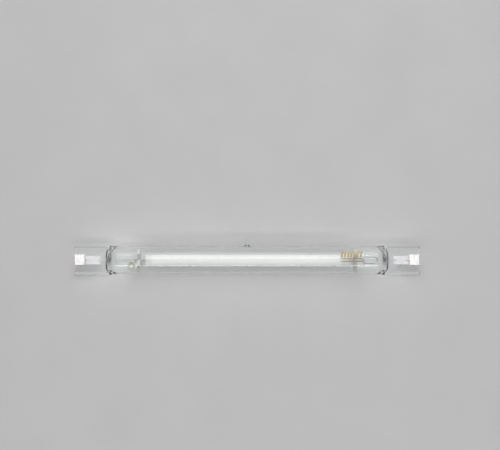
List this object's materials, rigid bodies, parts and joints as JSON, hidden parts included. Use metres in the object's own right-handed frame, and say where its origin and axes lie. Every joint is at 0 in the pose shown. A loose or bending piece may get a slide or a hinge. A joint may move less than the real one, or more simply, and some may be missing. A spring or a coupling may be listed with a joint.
{
  "type": "double-ended ceramic metal halide bulb",
  "caption": "Clear double-ended ceramic metal halide bulb with flat ribbed pinch seals and a folded metal contact at each end.",
  "frame": {"origin": "on the bulb's axis, midway between the two end contacts", "axes": "+X along the bulb towards the end with the expansion strap, +Y towards the exhaust tip, +Z square to the flat pinch seals"},
  "size_m": [0.393, 0.0428, 0.032],
  "materials": {
    "quartz_glass": "clear and polished",
    "alumina": "satin translucent white",
    "nickel": "bright satin nickel",
    "molybdenum": "bright drawn metal",
    "niobium": "satin grey",
    "tungsten": "dull dark grey",
    "spring_steel": "bright strip",
    "frit": "fired glassy",
    "getter": "grey pressed powder in a steel channel"
  },
  "bodies": {
    "root": {"outer_bulb": "quartz_glass", "arc_tube": "alumina", "right_end_plug": "alumina", "left_end_plug": "alumina", "right_frit_ring": "frit", "left_frit_ring": "frit", "right_niobium_tube": "niobium", "left_niobium_tube": "niobium", "right_electrode_rod": "tungsten", "left_electrode_rod": "tungsten", "right_electrode_coil": "tungsten", "left_electrode_coil": "tungsten", "right_inner_lead": "molybdenum", "left_inner_lead": "molybdenum", "right_outer_lead": "molybdenum", "left_outer_lead": "molybdenum", "right_seal_foil": "molybdenum", "left_seal_foil": "molybdenum", "right_contact": "nickel", "left_contact": "nickel", "right_support_spring": "spring_steel", "left_support_spring": "spring_steel", "expansion_strap": "spring_steel", "getter_ring": "getter"}
  },
  "joints": []
}
